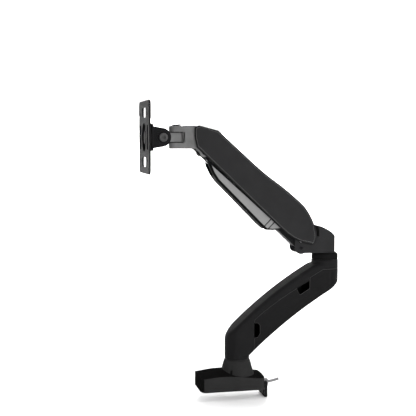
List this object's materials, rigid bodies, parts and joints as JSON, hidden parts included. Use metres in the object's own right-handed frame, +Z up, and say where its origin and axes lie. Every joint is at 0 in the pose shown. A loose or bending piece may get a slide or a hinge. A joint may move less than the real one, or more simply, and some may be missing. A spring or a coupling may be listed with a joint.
{
  "type": "monitor arm",
  "caption": "Gas spring monitor arm: narrow desk base, bowed lower arm with cable cover, parallelogram upper arm with cable tray, and a pan and tilt head.",
  "frame": {"origin": "desk surface under the base swivel axis", "axes": "+Z up; the arm lies in the XZ plane at rest, its screen plate on the -X side and its elbow on the +X side"},
  "size_m": [0.334, 0.118, 0.4972],
  "materials": {
    "charcoal_shell": "matt, lightly textured",
    "black_casting": "satin powder coat",
    "black_plastic": "matt",
    "grey_casting": "satin powder coat",
    "light_grey_plastic": "matt",
    "bare_steel": "machined",
    "black_steel": "black oxide and paint",
    "nylon": "moulded",
    "tie_nylon": "moulded, a little glossy",
    "rubber": "matt"
  },
  "bodies": {
    "base": {"desk_pad": "rubber", "base_plate": "black_steel", "base_cover": "black_plastic", "post": "bare_steel", "post_bolt": "bare_steel", "base_bush": "nylon", "post_retainer": "bare_steel", "retainer_screw": "bare_steel", "cable_tie": "tie_nylon"},
    "lower_arm": {"lower_arm_casting": "black_casting", "lower_cable_cover": "black_plastic", "elbow_post": "bare_steel", "elbow_ring": "black_plastic"},
    "elbow": {"elbow_knuckle": "black_casting", "elbow_bush": "nylon", "lift_pin": "bare_steel", "link_pin_rear": "bare_steel", "anchor_pin": "bare_steel", "anchor_roller": "bare_steel"},
    "upper_arm": {"upper_cover": "charcoal_shell", "cover_panel_near": "charcoal_shell", "cover_panel_far": "charcoal_shell", "upper_channel": "bare_steel", "gas_cylinder": "black_steel", "spring_pin": "bare_steel"},
    "spring_rod": {"spring_rod": "bare_steel"},
    "lower_link": {"lower_link": "black_steel", "cable_tray": "black_plastic", "tray_side_near": "light_grey_plastic", "tray_side_far": "light_grey_plastic", "tray_clip_near": "light_grey_plastic", "tray_clip_far": "light_grey_plastic", "tray_tail_near": "light_grey_plastic", "tray_tail_far": "light_grey_plastic"},
    "head": {"head_fork": "grey_casting", "head_pin": "bare_steel", "link_pin_front": "bare_steel", "pan_pin": "black_steel", "pan_nut": "bare_steel", "pan_washer_top": "nylon", "pan_washer_bottom": "nylon"},
    "pan_knuckle": {"pan_knuckle": "grey_casting"},
    "tilt_bracket": {"tilt_bracket": "black_steel", "tilt_bolt": "grey_casting", "tilt_nut": "bare_steel", "tilt_washer_near": "black_steel", "tilt_washer_far": "black_steel", "turn_disc": "nylon", "turn_stud": "black_steel", "turn_nut": "bare_steel"},
    "screen_plate": {"vesa_plate": "black_steel"}
  },
  "joints": [
    {"name": "base_swivel", "type": "hinge", "parent": "base", "child": "lower_arm", "pos_m": [0, 0, 0.065], "axis": [0, 0, 1], "range_deg": [-180, 180]},
    {"name": "elbow_swivel", "type": "hinge", "parent": "lower_arm", "child": "elbow", "pos_m": [0.1545, 0, 0.235], "axis": [0, 0, 1], "range_deg": [-180, 180]},
    {"name": "arm_lift", "type": "hinge", "parent": "elbow", "child": "upper_arm", "pos_m": [0.107, 0, 0.262], "axis": [0, 1, 0], "range_deg": [-74, 5]},
    {"name": "link_swing", "type": "hinge", "parent": "elbow", "child": "lower_link", "pos_m": [0.107, 0, 0.237], "axis": [0, 1, 0], "range_deg": [-75, 6]},
    {"name": "spring_stroke", "type": "slide", "parent": "upper_arm", "child": "spring_rod", "axis": [0.7193, 0, -0.6947], "range_m": [-0.0152, 0.0013]},
    {"name": "head_level", "type": "hinge", "parent": "upper_arm", "child": "head", "pos_m": [-0.05989, 0, 0.42316], "axis": [0, 1, 0], "range_deg": [-6, 75]},
    {"name": "head_pan", "type": "hinge", "parent": "head", "child": "pan_knuckle", "pos_m": [-0.10359, 0, 0.42316], "axis": [0, 0, 1], "range_deg": [-75, 75]},
    {"name": "head_tilt", "type": "hinge", "parent": "pan_knuckle", "child": "tilt_bracket", "pos_m": [-0.12719, 0, 0.42316], "axis": [0, 1, 0], "range_deg": [-30, 30]},
    {"name": "screen_turn", "type": "hinge", "parent": "tilt_bracket", "child": "screen_plate", "pos_m": [-0.12719, 0, 0.42316], "axis": [1, 0, 0], "range_deg": [-180, 180]}
  ],
  "couplings": [
    {"joint": "link_swing", "follows": "arm_lift", "ratio": 1},
    {"joint": "head_level", "follows": "arm_lift", "ratio": -1},
    {"joint": "spring_stroke", "follows": "arm_lift", "m_per_rad": 0.01156}
  ]
}
